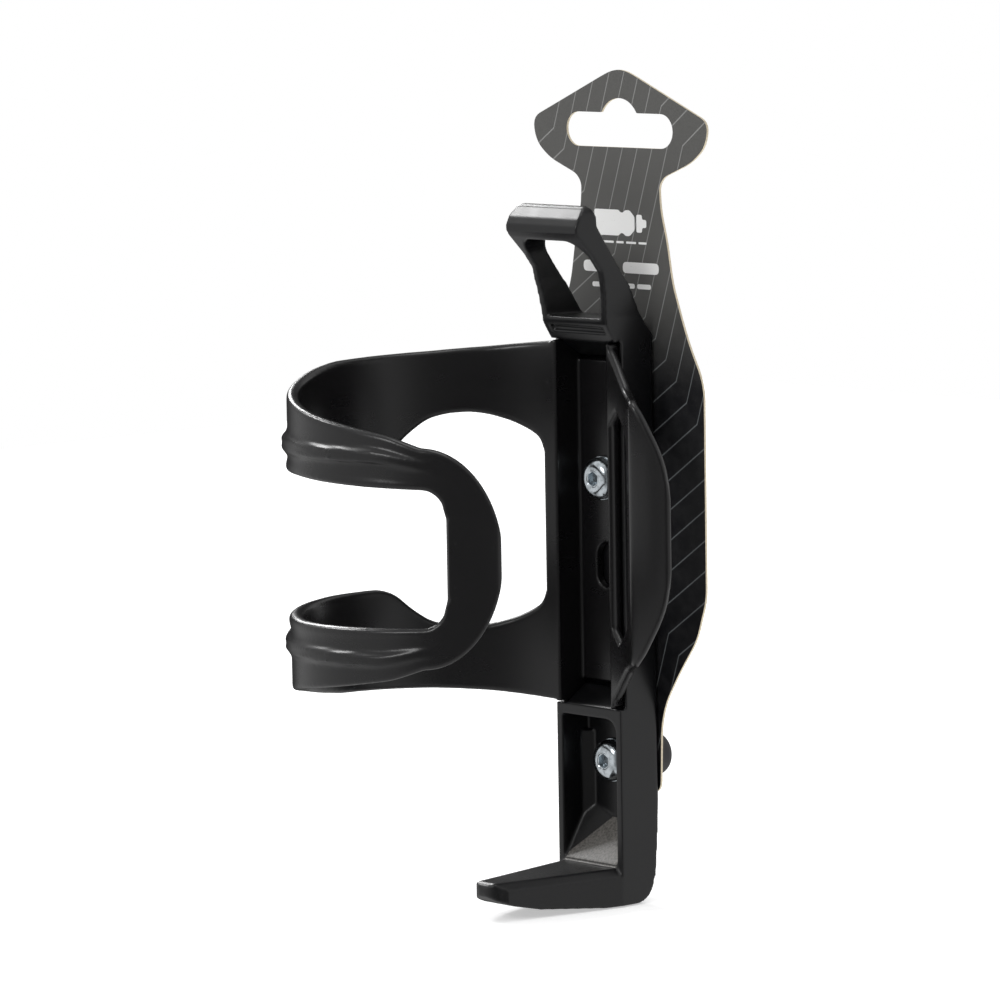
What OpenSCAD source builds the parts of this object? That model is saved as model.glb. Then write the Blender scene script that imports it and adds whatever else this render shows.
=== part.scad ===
// Side-entry bottle cage for a bicycle frame, with its screws, retaining caps and hang card.
// Origin: midway between the two frame screws, on the spine's back face.
// +Y points out of the back towards the bicycle frame, +Z runs up the bottle, +X is the entry side.

/* [Bottle] */
// Inside diameter of the empty clip, which springs open around a 73 to 74 mm bottle
clip_d = 72; // [70:0.5:74]
// Distance from the spine's front plane to the clip's round inner face
clip_gap = 0; // [0:0.5:1]

/* [Frame screws] */
// Distance between the two frame screws
screw_pitch = 64; // [64:1:66]
// Nominal diameter of the screws' shanks
screw_d = 5; // [4:0.5:5]
// Diameter of the plain screw holes
hole_d = 5.5; // [5.5:0.1:5.8]
// Diameter of the domed screw heads
head_d = 9.5; // [9:0.1:9.8]
// Height of the domed screw heads
head_h = 2.75; // [2.5:0.05:3]
// Width across the flats of the hexagon socket
socket_af = 3; // [2.5:0.5:4]
// How far both screws reach past the spine's back face
screw_reach = 11.8; // [11.6:0.1:12.6]

/* [Washers] */
// Outside diameter of the washers
washer_d = 10; // [9.8:0.1:10.2]
// Thickness of the washers
washer_t = 1; // [0.8:0.1:1.2]

/* [Spine] */
// Width of the spine
spine_w = 21; // [20:0.5:24]
// Depth of the spine, from its back face to its front plane
spine_d = 12; // [11:0.5:13]
// Height of the spine's foot below the origin
spine_low = 63.2; // [62:0.1:65]
// Thickness of the spine's back wall
back_t = 4; // [3.5:0.1:4.2]
// Thickness of the lower box's side walls
wall_t = 1.8; // [1.6:0.1:2.6]
// Height of the top of the lower box
box_top = -18.9; // [-20:0.1:-18.7]
// How far the foot reaches in front of the spine
foot_reach = 33; // [28:0.5:34]
// Height of the foot's top face
foot_top = -54.8; // [-56:0.1:-54]

/* [Side arm] */
// Height of the middle of the side arm
arm_mid = 22.2; // [22:0.1:22.4]
// Wall thickness of the side arm
arm_t = 2.6; // [2.4:0.1:3]
// Thickness of the side arm's base plate
plate_t = 2; // [1.8:0.1:2.2]
// Angle at which the long arm ends, going round the bottle from the spine
arm_end = 240; // [225:1:245]
// How far the raised ridge on the long arm stands out
ridge_h = 1.4; // [0.6:0.1:1.6]

/* [Hang card] */
// Thickness of the card
card_t = 0.6; // [0.4:0.1:0.8]
// Height of the card's top
card_top = 123; // [120:1:126]

/* [Caps] */
// Diameter of the retaining caps
cap_d = 10; // [9:0.5:11]
// Length of the retaining caps
cap_l = 9.6; // [8:0.2:9.6]

/* [Hidden] */
$fn = 64;
eps = 0.01;
clip_r = clip_d / 2;
// Place of the bottle's axis in front of the spine's back face
bottle_y = -(spine_d + clip_gap + clip_r);
upper_z = screw_pitch / 2;
lower_z = -screw_pitch / 2;
half_w = spine_w / 2;
// The recess that takes the side arm's base, the gap left around it, and the lips along its edges
fit_gap = 0.3;
root_half = arm_mid - box_top - fit_gap;
recess_top = arm_mid + root_half + fit_gap;
lip_t = 1;
lip_d = 6.2;
flange_t = 2.3;
relief_half = 12;
relief_depth = 0.2;
plate_y = -back_t - plate_t;
plate_half_w = half_w - lip_t - 0.2;
plate_half_h = root_half - 4.6;
// The wedges at both ends of the recess, which the base plate sits between
wedge_half_w = 7.4;
wedge_h = 3.9;
// The hook widens a little between two heights, and so does its window
flare = 1;
flare_low = 69;
flare_high = 77;
hook_top = 95;
hook_corner = 4;
window_low = 68.6;
window_top = 86.2;
window_corner = 4;
// Clearance between a screw's shank and its cap, and between the shank and its washer
thread_gap = 0.05;
washer_gap = 0.15;
// Details of the screws
head_top_r = 2.7;
head_edge = 0.5;
socket_depth = 1.9;
groove_w = 0.2;
end_chamfer = 0.5;
plastic = [0.09, 0.09, 0.1];
zinc = [0.8, 0.83, 0.86];

// ---------------------------------------------------------------- helpers

// Smooth step from 0 to 1 as x goes from a to b
function ease(x, a, b) = let (t = min(1, max(0, (x - a) / (b - a)))) t * t * (3 - 2 * t);

// Joins a grid of outer points and a grid of inner points into one closed shell. Rows run along
// the shell and columns run across it. Between rows hole[0] and hole[1] the cells of column
// hole[2] are left out, and the hole is walled round.
module windowed_shell(outer, inner, hole) {
    rows = len(outer);
    cols = len(outer[0]);
    inner_at = rows * cols;
    function id(i, j) = i * cols + j;
    function quad(a, b, c, d) = [[a, b, c], [a, c, d]];
    function open(i, j) = i >= hole[0] && i < hole[1] && j == hole[2];
    skins = [for (i = [0:rows - 2]) for (j = [0:cols - 2]) if (!open(i, j))
        for (f = concat(
            quad(id(i, j), id(i, j + 1), id(i + 1, j + 1), id(i + 1, j)),
            quad(inner_at + id(i, j), inner_at + id(i + 1, j), inner_at + id(i + 1, j + 1),
                 inner_at + id(i, j + 1)))) f];
    long_rims = [for (i = [0:rows - 2]) for (f = concat(
        quad(id(i, 0), id(i + 1, 0), inner_at + id(i + 1, 0), inner_at + id(i, 0)),
        quad(id(i, cols - 1), inner_at + id(i, cols - 1), inner_at + id(i + 1, cols - 1),
             id(i + 1, cols - 1)))) f];
    end_rims = [for (j = [0:cols - 2]) for (f = concat(
        quad(id(0, j), inner_at + id(0, j), inner_at + id(0, j + 1), id(0, j + 1)),
        quad(id(rows - 1, j), id(rows - 1, j + 1), inner_at + id(rows - 1, j + 1),
             inner_at + id(rows - 1, j)))) f];
    hole_sides = [for (i = [hole[0]:hole[1] - 1]) for (f = concat(
        quad(id(i, hole[2]), inner_at + id(i, hole[2]), inner_at + id(i + 1, hole[2]),
             id(i + 1, hole[2])),
        quad(id(i, hole[2] + 1), id(i + 1, hole[2] + 1), inner_at + id(i + 1, hole[2] + 1),
             inner_at + id(i, hole[2] + 1)))) f];
    hole_ends = concat(
        quad(id(hole[0], hole[2]), id(hole[0], hole[2] + 1), inner_at + id(hole[0], hole[2] + 1),
             inner_at + id(hole[0], hole[2])),
        quad(id(hole[1], hole[2]), inner_at + id(hole[1], hole[2]),
             inner_at + id(hole[1], hole[2] + 1), id(hole[1], hole[2] + 1)));
    polyhedron([for (r = outer) for (p = r) p, for (r = inner) for (p = r) p],
               concat(skins, long_rims, end_rims, hole_sides, hole_ends));
}

// ---------------------------------------------------------------- screws, washers and caps

// A domed screw with a hexagon socket. Its head stands on y = seat and faces -Y. Its free end,
// past the cap, is marked off by a shallow groove and ends in a chamfer.
module frame_screw(z, seat) {
    shank_l = card_t + cap_l - seat;
    end_at = shank_l + groove_w;
    end_l = screw_reach - seat - end_at;
    translate([0, seat, z]) rotate([-90, 0, 0]) difference() {
        union() {
            translate([0, 0, end_at]) cylinder(r = screw_d / 2, h = end_l - end_chamfer);
            translate([0, 0, end_at + end_l - end_chamfer])
                cylinder(r1 = screw_d / 2, r2 = screw_d / 2 - end_chamfer, h = end_chamfer);
            translate([0, 0, shank_l]) cylinder(r = screw_d / 2 - groove_w, h = groove_w);
            translate([0, 0, -head_edge]) cylinder(r = screw_d / 2, h = shank_l + head_edge);
            rotate_extrude() polygon(concat([[0, 0], [0, -head_h], [head_top_r, -head_h]],
                [for (a = [75:-15:0]) [head_top_r + (head_d / 2 - head_top_r) * cos(a),
                                       -head_edge - (head_h - head_edge) * sin(a)]],
                [[head_d / 2, 0]]));
        }
        translate([0, 0, -head_h - eps]) cylinder(d = socket_af / cos(30), h = socket_depth, $fn = 6);
    }
}

module washer(z, back) {
    translate([0, back - washer_t, z]) rotate([-90, 0, 0]) difference() {
        cylinder(d = washer_d, h = washer_t);
        translate([0, 0, -1]) cylinder(r = screw_d / 2 + washer_gap, h = washer_t + 2);
    }
}

// A short round collar that holds a screw's end behind the card
module retaining_cap(z) {
    translate([0, card_t, z]) rotate([-90, 0, 0]) difference() {
        rotate_extrude() polygon([[0, 0], [cap_d / 2, 0], [cap_d / 2, cap_l - 1.2],
            [cap_d / 2 - 0.4, cap_l - 0.4], [cap_d / 2 - 1.2, cap_l], [0, cap_l]]);
        translate([0, 0, -1]) cylinder(r = screw_d / 2 + thread_gap, h = cap_l + 2);
    }
}

module upper_screw() { color(zinc) frame_screw(upper_z, plate_y - washer_t); }
module lower_screw() { color(zinc) frame_screw(lower_z, -back_t - washer_t); }
module upper_washer() { color(zinc) washer(upper_z, plate_y); }
module lower_washer() { color(zinc) washer(lower_z, -back_t); }
module upper_cap() { color(plastic) retaining_cap(upper_z); }
module lower_cap() { color(plastic) retaining_cap(lower_z); }

// ---------------------------------------------------------------- spine

// The spine's side profile up to the hook, drawn as [y, z]
module spine_profile() {
    back_r = 5.5;
    draw_in = 2.1;
    difference() {
        translate([-spine_d, -spine_low]) square([spine_d, spine_low + recess_top + 1]);
        // the back of the lower end draws in a little, then rounds under
        polygon([[1, -36], [0, -36], [-draw_in, -spine_low], [1, -spine_low]]);
        translate([-back_r - draw_in, -spine_low]) difference() {
            square([back_r + draw_in + 1, back_r]);
            translate([0, back_r]) circle(back_r);
        }
    }
}

// The side profile of the hook, which leans out over the bottle, drawn as [y, z]
module hook_profile() {
    polygon([[-0.4, recess_top], [-0.4, recess_top + 1], [-2.8, recess_top + 4], [-4.6, 69.8],
             [-7.7, 75.3], [-11.6, 80.4], [-15.4, 85.8], [-17.8, 89.4], [-18, 91.6], [-18.8, 93.4], [-20, 94],
             [-21.4, 93.4], [-23.4, 91.2], [-24.3, 89.4], [-24.2, 88], [-23.4, 86.9], [-19.2, 82.7],
             [-16.6, 79.4], [-15.4, 74.2], [-14.5, 67.3], [-13.4, 65.4], [-12, recess_top]]);
}

// Half of an arched outline, drawn as [x, z]: straight sides, a flare, and a rounded top corner
function arch_half(w, low, high, r) = concat([[w, low], [w, flare_low], [w + flare, flare_high]],
    [for (a = [0:15:90]) [w + flare - r + r * cos(a), high - r + r * sin(a)]]);

// A slab of that outline, reaching from the card to past the hook's tip
module arch(w, low, high, r) {
    half = arch_half(w, low, high, r);
    translate([0, 1, 0]) rotate([90, 0, 0]) linear_extrude(30)
        polygon(concat(half, [for (i = [len(half) - 1:-1:0]) [-half[i][0], half[i][1]]]));
}

// Turns a [y, z] profile into a solid across the spine
module across(width) {
    translate([-width / 2, 0, 0]) rotate([90, 0, 90]) linear_extrude(width) children();
}

// The spine seen from above, with its two back edges rounded
module spine_plan() {
    edge_r = 1.3;
    translate([0, 0, -spine_low - 1]) linear_extrude(2 * card_top) {
        translate([-half_w, -3 * spine_d]) square([spine_w, 3 * spine_d - edge_r]);
        translate([-half_w + edge_r, -spine_d]) square([spine_w - 2 * edge_r, spine_d]);
        for (side = [-1, 1]) translate([side * (half_w - edge_r), -edge_r]) circle(edge_r);
    }
}

// The foot under the bottle narrows to a round tip. Its top side edges are bevelled.
module foot() {
    front = -spine_d - foot_reach;
    tip_r = 4.6;
    tip_half_w = tip_r + 0.3;
    taper_end = front + tip_r - 1.4;
    bevel = 1.8;
    taper = atan2(half_w - tip_half_w, -spine_d - taper_end);
    difference() {
        foot_blank(front, tip_r, tip_half_w, taper_end);
        for (side = [-1, 1]) translate([side * half_w, -spine_d, foot_top]) rotate([0, 45, -side * taper])
            cube([bevel * sqrt(2), 3 * foot_reach, bevel * sqrt(2)], center = true);
    }
}

module foot_blank(front, tip_r, tip_half_w, taper_end) {
    intersection() {
        across(spine_w) polygon([[-spine_d + 2, -spine_low], [-spine_d - 4, -spine_low],
            [-spine_d - 21, -spine_low + 1.6], [front + 5, foot_top - 5.3], [front + 1.4, foot_top - 3.9],
            [front + 0.2, foot_top - 2.9], [front, foot_top - 1.6], [front + 0.5, foot_top - 0.5],
            [front + 1.6, foot_top], [-spine_d + 2, foot_top]]);
        translate([0, 0, -spine_low - 1]) linear_extrude(spine_low) union() {
            polygon([[-half_w, -spine_d + 2], [half_w, -spine_d + 2], [half_w, -spine_d],
                     [tip_half_w, taper_end], [-tip_half_w, taper_end],
                     [-half_w, -spine_d]]);
            translate([0, front + tip_r]) circle(tip_r);
        }
    }
}

// The sloping floor inside the lower box: it rises to the back wall and to both side walls
module box_floor() {
    in_w = half_w - wall_t + 0.5;
    low = foot_top - 1;
    back = -back_t + 0.5;
    front = -spine_d;
    top = [[-in_w, front, foot_top + 0.6], [in_w, front, foot_top + 0.6], [in_w, back, -40.6],
           [0, back, -44.4], [-in_w, back, -40.6]];
    points = concat(top, [for (p = top) [p[0], p[1], low]]);
    polyhedron(points, concat(
        [[0, 3, 1], [1, 3, 2], [0, 4, 3]],
        [[5, 6, 8], [6, 7, 8], [5, 8, 9]],
        [for (i = [0:4]) for (f = [[i, (i + 1) % 5, (i + 1) % 5 + 5], [i, (i + 1) % 5 + 5, i + 5]]) f]));
}

// Flat corners down both back edges of the lower box
module box_corners() {
    corner = 2.2;
    corner_top = box_top - 7;
    box_in = half_w - wall_t;
    for (side = [-1, 1]) scale([side, 1, 1]) translate([0, 0, foot_top]) linear_extrude(corner_top - foot_top)
        polygon([[box_in + eps, -back_t + eps], [box_in - corner, -back_t + eps], [box_in - corner, -back_t],
                 [box_in, -back_t - corner], [box_in + eps, -back_t - corner]]);
}

// A wedge at one end of the recess, rising towards the back wall
module recess_wedge() {
    across(2 * wedge_half_w) polygon([[-back_t + 1, box_top - 1], [-back_t + 1, box_top + wedge_h],
        [plate_y, box_top + wedge_h], [-spine_d + 0.4, box_top + 0.3], [-spine_d + 0.4, box_top - 1]]);
}

module spine() {
    top_bar = 2.5;
    box_in = half_w - wall_t;
    opening_r = 3;
    leg_t = 1.9;
    color(plastic) difference() {
        union() {
            difference() {
                union() {
                    intersection() {
                        across(spine_w) spine_profile();
                        spine_plan();
                    }
                    intersection() {
                        across(spine_w + 2 * flare) hook_profile();
                        arch(half_w, recess_top, hook_top, hook_corner);
                    }
                }
                // the recess for the side arm, with low lips along both edges
                translate([-half_w - 1, -spine_d - 1, box_top])
                    cube([spine_w + 2, spine_d + 1 - back_t - lip_d, recess_top - box_top]);
                translate([-half_w + lip_t, -spine_d - 1, box_top])
                    cube([spine_w - 2 * lip_t, spine_d + 1 - back_t, recess_top - box_top]);
                // the open lower box
                difference() {
                    translate([-box_in, -spine_d - 1, foot_top])
                        cube([2 * box_in, spine_d + 1 - back_t, box_top - top_bar - foot_top]);
                    translate([box_in, 0, box_top - top_bar]) rotate([90, 0, 0])
                        linear_extrude(spine_d + 2) difference() {
                            square(2 * opening_r, center = true);
                            translate([-opening_r, -opening_r]) circle(opening_r);
                        }
                }
                // the window in the hook
                arch(half_w - leg_t, window_low, window_top, window_corner);
            }
            foot();
            box_floor();
            box_corners();
            recess_wedge();
            translate([0, 0, 2 * arm_mid]) mirror([0, 0, 1]) recess_wedge();
        }
        for (z = [upper_z, lower_z]) translate([0, 1, z]) rotate([90, 0, 0])
            cylinder(d = hole_d, h = back_t + 2);
        // the groove across the front, between the two bars under the hook's window
        translate([0, -spine_d - 1.5, recess_top + 2.7]) rotate([0, 90, 0])
            cylinder(r = 0.9, h = spine_w - 4, center = true);
    }
}

// ---------------------------------------------------------------- side arm

// Half-height of the long arm at angle a around the bottle
arm_half = [[15, 40.6], [39, 39.1], [60, 38.2], [98, 37.3], [110, 36.2], [123, 34.6], [157, 30.9],
            [183, 28.4], [203, 26.3], [214, 23.8]];
// Half-height of the long arm's window
arm_hole_half = [[19, 18], [24, 20.2], [31, 22.2], [39, 23.7], [46, 24.3], [54, 24], [61, 22.9],
                 [68, 19.8], [74, 16.3], [80, 15], [100, 15], [157, 15.8], [214, 14.8]];
end_a = 214;
hole_start = 19;
hole_end = 222;

function arm_outline(a) = a < end_a ? lookup(a, arm_half)
    : lookup(end_a, arm_half) * sqrt(1 - pow((a - end_a) / (arm_end + 0.5 - end_a), 2));
// The window's corners are rounded over the last stretch before each end
function arm_window(a) = let (c = 8, u = (hole_end - a) / c, v = (a - hole_start) / 3)
    lookup(a, arm_hole_half)
    - (u < 1 ? 6 * (1 - sqrt(1 - pow(1 - max(0, u), 2))) : 0)
    - (v < 1 ? 2 * (1 - sqrt(1 - pow(1 - max(0, v), 2))) : 0);

arm_angles = concat([13.8, 16, hole_start, 19.8, 22, 25, 29], [for (a = [34:4.5:83.5]) a],
                    [for (a = [90:6:210]) a],
                    [213, 216, 218, 220, 221.4, hole_end, 225, 228, 231, 234, 236.6, 238.5, arm_end]);
rim = 0.9;
// Height of the ridges above and below the arm's middle
ridge_z = 21.9;

// One row of the long arm, across its height: [z, depth into the wall from each face] pairs.
// The rims and the window's edges are thinned to round them.
function arm_row(a) = let (
        o = arm_outline(a),
        w = min(arm_window(a), o - 3 * rim),
        in_hole = a >= hole_start && a <= hole_end,
        band = o - w,
        edge = min(rim, 0.15 * band),
        crest = min(0.58, max(0.34, (ridge_z - w) / band)),
        h = ridge_h * ease(a, 95, 130) * (1 - ease(a, 196, 222)),
        half = [[w, in_hole ? 0.8 : 0, 0], [w + edge, 0, 0], [w + (crest - 0.18) * band, 0, 0],
                [w + (crest - 0.05) * band, 0, h], [w + (crest + 0.06) * band, 0, h],
                [w + (crest + 0.22) * band, 0, 0], [o - edge, 0, 0], [o, 0.8, 0]])
    concat([for (i = [7:-1:0]) [-half[i][0], half[i][1], half[i][2]]], half);

function arm_point(a, r, z) = [-r * sin(a), bottle_y + r * cos(a), arm_mid + z];

module long_arm() {
    last = arm_angles[len(arm_angles) - 1];
    rows = [for (a = arm_angles) arm_row(a)];
    function end_thin(a) = a > last - 1 ? 0.9 : 0;
    outer = [for (i = [0:len(rows) - 1]) let (a = arm_angles[i])
        [for (p = rows[i]) arm_point(a, clip_r + arm_t + p[2] - max(p[1], end_thin(a)), p[0])]];
    inner = [for (i = [0:len(rows) - 1]) let (a = arm_angles[i])
        [for (p = rows[i]) arm_point(a, clip_r - 0.3 + (max(p[1], end_thin(a)) > 0 ? 1 : 0), p[0])]];
    first_open = search(hole_start, arm_angles)[0];
    last_open = search(hole_end, arm_angles)[0];
    windowed_shell(outer, inner, [first_open, last_open, 7]);
}

// The short wing follows the bottle to its crease, then its lip turns outwards
crease_a = 38;
lip_len = 10.6;
wing_half = [[13.2, 40.7], [18.5, 37.2], [23, 34.2], [28, 31.4], [33, 30.2], [crease_a, 29.6]];
// Half-height of the lip, at fractions of its length
lip_half = [[0, 29.6], [0.2, 28.8], [0.35, 27], [0.5, 24.2], [0.7, 20.4], [0.85, 16.8], [0.95, 12.8], [1, 8]];
// The wing's window: its first and last angle, and its half-height between them
wing_open = 15;
wing_shut = 33;
wing_hole_half = [[wing_open, 22.5], [17.8, 24.2], [20.5, 25.8], [26, 23], [31.5, 20], [wing_shut, 16]];
wing_angles = [13.2, 14, wing_open, 16.2, 17.8, 20.5, 23, 26, 29, 31.5, wing_shut, 35.5];
lip_steps = [0, 0.12, 0.25, 0.4, 0.55, 0.7, 0.82, 0.91, 0.97, 1];

// Heading of the lip, in degrees from +X, at fraction u of its length
function lip_heading(u) = -crease_a + 50 * ease(u, -0.12, 0.3) + 16 * u;
function lip_travel(u, n = 12) = [for (k = 0, p = [0, 0]; k <= n; k = k + 1,
    p = p + lip_len * u / n * [cos(lip_heading(u * (k - 0.5) / n)), sin(lip_heading(u * (k - 0.5) / n))])
    if (k == n) p][0];

module short_wing() {
    on_bottle = [for (a = wing_angles) [[clip_r * sin(a), bottle_y + clip_r * cos(a)], [sin(a), cos(a)],
        lookup(a, wing_half), a >= wing_open && a <= wing_shut ? 1 : 0, lookup(a, wing_hole_half)]];
    start = [clip_r * sin(crease_a), bottle_y + clip_r * cos(crease_a)];
    on_lip = [for (u = lip_steps) [start + lip_travel(u), [-sin(lip_heading(u)), cos(lip_heading(u))],
        lookup(u, lip_half), 0, 2]];
    path = concat(on_bottle, on_lip);
    function row(p, last) = let (o = p[2], w = min(p[4], o - 2.5 * rim),
            half = [[w, p[3] * 0.7], [w + rim, 0], [o - rim, 0], [o, 0.7]])
        [for (q = concat([for (i = [3:-1:0]) [-half[i][0], half[i][1]]], half)) [q[0], last ? 0.7 : q[1]]];
    function skin(depth, sense) = [for (i = [0:len(path) - 1]) let (p = path[i], last = i == len(path) - 1)
        [for (q = row(p, last)) let (d = depth + sense * q[1])
            [p[0][0] + d * p[1][0], p[0][1] + d * p[1][1], arm_mid + q[0]]]];
    windowed_shell(skin(-0.3, 1.5), skin(arm_t - 0.4, -1),
                   [search(wing_open, wing_angles)[0], search(wing_shut, wing_angles)[0], 3]);
}

// The bottle's round space. Between the clip's two gripping bands the wall stands back a little.
module bottle_space() {
    translate([0, bottle_y, arm_mid - root_half - 1]) cylinder(r = clip_r, h = 2 * root_half + 2);
    translate([0, bottle_y, arm_mid - relief_half]) cylinder(r = clip_r + relief_depth, h = 2 * relief_half);
}

// The base of the side arm: a plate in the spine's recess, with a flange along each edge
module arm_base() {
    flange_in = half_w - flange_t;
    translate([-plate_half_w, plate_y, arm_mid - plate_half_h])
        cube([2 * plate_half_w, plate_t, 2 * plate_half_h]);
    for (side = [-1, 1]) scale([side, 1, 1]) translate([0, 0, arm_mid - root_half])
        linear_extrude(2 * root_half) polygon([[flange_in, plate_y + 1], [plate_half_w, plate_y + 1],
            [plate_half_w, -spine_d - 1.4], [flange_in, -spine_d - 1.4]]);
}

module side_arm() {
    turned_z = 2 * arm_mid - upper_z;
    slot_run = 4.5;
    color(plastic) difference() {
        union() {
            arm_base();
            long_arm();
            short_wing();
        }
        bottle_space();
        translate([0, 0, upper_z]) rotate([90, 0, 0]) cylinder(d = hole_d, h = spine_d);
        // the slot that takes the screw when the arm is turned end for end
        for (z = [-slot_run / 2, slot_run / 2]) translate([0, 0, turned_z + z]) rotate([90, 0, 0])
            cylinder(d = hole_d, h = spine_d);
        translate([-hole_d / 2, -spine_d, turned_z - slot_run / 2]) cube([hole_d, spine_d, slot_run]);
    }
}

// ---------------------------------------------------------------- hang card

module card_outline() {
    half = [[0, card_top], [2.6, 122.6], [5, 121.7], [28.4, 111.8], [27.4, 106.4], [23, 102.8],
            [14.2, 99.4], [12.6, 97.4], [12.9, 92], [14.8, 85], [16.4, 75.8], [19.4, 67.5], [21.7, 62],
            [25, 55.8], [26, 52], [25.9, 6], [22.7, -3.4], [17, -11.2], [12.6, -18.2], [11, -23.6],
            [10.5, -39]];
    offset(r = 1.5) offset(delta = -3) offset(r = 1.5)
        polygon(concat(half, [for (i = [len(half) - 1:-1:1]) [-half[i][0], half[i][1]]]));
}

module euro_slot() {
    slot_half = 17.2;
    slot_r = 3.85;
    slot_z = 109.5;
    bump_r = 6.6;
    for (side = [-1, 1]) translate([side * (slot_half - slot_r), slot_z]) circle(slot_r);
    translate([-slot_half + slot_r, slot_z - slot_r]) square([2 * (slot_half - slot_r), 2 * slot_r]);
    translate([0, slot_z + 0.5]) intersection() {
        circle(bump_r);
        translate([-bump_r, 0]) square([2 * bump_r, bump_r]);
    }
}

module hang_card() {
    color([0.2, 0.2, 0.2]) difference() {
        translate([0, card_t, 0]) rotate([90, 0, 0]) linear_extrude(card_t) card_outline();
        translate([0, card_t + 1, 0]) rotate([90, 0, 0]) linear_extrude(card_t + 2) euro_slot();
        for (z = [upper_z, lower_z]) translate([0, card_t + 1, z]) rotate([90, 0, 0])
            cylinder(d = hole_d, h = card_t + 2);
    }
}

spine();
side_arm();
upper_screw();
lower_screw();
upper_washer();
lower_washer();
upper_cap();
lower_cap();
hang_card();
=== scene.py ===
import math

import bmesh
import bpy
import numpy as np
from mathutils import Matrix, Vector


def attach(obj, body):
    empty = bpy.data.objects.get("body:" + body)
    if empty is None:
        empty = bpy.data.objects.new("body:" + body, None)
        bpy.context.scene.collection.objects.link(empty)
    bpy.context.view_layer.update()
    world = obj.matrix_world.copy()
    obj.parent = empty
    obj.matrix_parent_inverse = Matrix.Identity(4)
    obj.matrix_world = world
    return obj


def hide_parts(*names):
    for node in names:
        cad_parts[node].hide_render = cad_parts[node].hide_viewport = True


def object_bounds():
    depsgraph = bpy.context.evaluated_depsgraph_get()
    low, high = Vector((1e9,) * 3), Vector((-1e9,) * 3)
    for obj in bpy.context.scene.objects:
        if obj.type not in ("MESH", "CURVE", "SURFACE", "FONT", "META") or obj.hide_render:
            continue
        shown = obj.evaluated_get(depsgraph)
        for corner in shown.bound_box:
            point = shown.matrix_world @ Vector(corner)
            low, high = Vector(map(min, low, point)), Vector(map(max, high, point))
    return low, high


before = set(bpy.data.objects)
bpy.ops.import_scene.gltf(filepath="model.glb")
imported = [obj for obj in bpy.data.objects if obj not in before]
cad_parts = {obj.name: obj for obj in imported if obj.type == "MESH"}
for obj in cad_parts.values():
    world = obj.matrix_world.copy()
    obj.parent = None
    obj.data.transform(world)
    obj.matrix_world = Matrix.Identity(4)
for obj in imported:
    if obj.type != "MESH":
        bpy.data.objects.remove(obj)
CAD_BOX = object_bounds()

bl_info = {
    "name": "Bottle Cage Looks",
    "version": (1, 0, 0),
    "blender": (4, 5, 0),
    "location": "3D View > Sidebar > Bottle Cage",
    "description": "Builds the visible pieces of a side-entry bottle cage around its CAD model",
    "category": "Add Mesh",
}

MM = 0.001

# Sizes of the cage in millimetres. They repeat the CAD's own sizes.
CLIP_R = 36.0
BOTTLE_Y = -48.0
ARM_MID = 22.2
ARM_T = 2.6
ARM_START = 13.8
ARM_END = 240.0
END_CURVE = 214.0
HOLE_START = 19.0
HOLE_END = 222.0
RIDGE_Z = 21.9
RIDGE_START = (95, 130)
RIDGE_STOP = (196, 222)
WING_T = 2.2
PLATE_T = 2.0
PLATE_HALF_W = 9.3
PLATE_HALF_H = 36.2
PLATE_Y = -6.0
BACK_T = 4.0
ROOT_HALF = 40.8
FLANGE_IN = 8.2
FLANGE_FRONT = -13.4
CREASE_A = 38.0
LIP_LEN = 10.6
SCREW_R = 2.5
HOLE_R = 2.75
UPPER_Z = 32.0
LOWER_Z = -32.0
SLOT_Z = 2 * ARM_MID - UPPER_Z
SLOT_RUN = 4.5
HEAD_R = 4.75
HEAD_H = 2.75
WASHER_R = 5.0
WASHER_T = 1.0
SCREW_REACH = 11.8
CARD_T = 0.6
CARD_CORNER = 2.6
CARD_EDGE = 0.03
INK_FRONT = -0.03
INK_BACK = 0.005
INK_EDGE = 0.004
CAP_R = 5.0
CAP_L = 9.6
SOCKET_WIDTH = 3.0
SOCKET_DEPTH = 1.9
THREAD_PITCH = 0.8
THREAD_DEPTH = 0.42
THREAD_RUN_IN = 1.2
SMOOTH_ROUNDS = 4

# Where the spine's plastic changes, as the two ends of each soft border: the foot's coarse grain by height,
# and the painted highlight on the lower box's sloping floor by height and by depth
FOOT_GRAIN = (-50.0, -44.0)
SLOPE_LOW = (-56.0, -55.0)
SLOPE_HIGH = (-41.5, -40.5)
SLOPE_FRONT = (-12.6, -12.0)

# The card's printed lines: spacing, lean of each run, and how far each run is shifted, in line spacings
STEEP_PITCH = 4.75
STEEP_LEAN = 0.33
SLANT_PITCH = 6.8
HEAD_LEAN = 0.75
BODY_LEAN = 0.68
HEAD_SHIFT = 10.3
BODY_SHIFT = 6.12
FOOT_SHIFT = 4.8
FIRST_LINE = 0.12

# The camera: turned to the entry side, raised and rolled in degrees, then distances in millimetres.
# Its axis passes to the left of the origin and above it.
CAMERA_TURN = 47.9
CAMERA_RISE = 6.45
CAMERA_ROLL = -0.96
CAMERA_DISTANCE = 1300.0
CAMERA_PAST_LEFT = 28.364
CAMERA_PAST_ABOVE = 26.293
SENSOR_WIDTH = 36.0

# The studio in metres: the soft boxes by name, place, size and power, and the point that they face
LAMPS = [("key", (-1.0, -0.2, 0.95), (0.3, 0.3), 5), ("front", (0.1, -1.3, 0.8), (0.5, 0.4), 5),
         ("rim", (-1.25, 0.55, 0.75), (0.3, 0.5), 6), ("top", (0.1, 0.1, 1.3), (0.6, 0.6), 3)]
LIT_POINT = (0, -0.02, 0.03)
SURROUND_LIGHT = 0.66
# Dark flags: the way to each, the cosines where it starts and is full, and the share of light it leaves
FLAGS = [((-0.74, 0.66, 0.1), 0.7, 0.92, 0.06), ((0.74, -0.67, 0.05), 0.55, 0.95, 0.26)]

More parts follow.
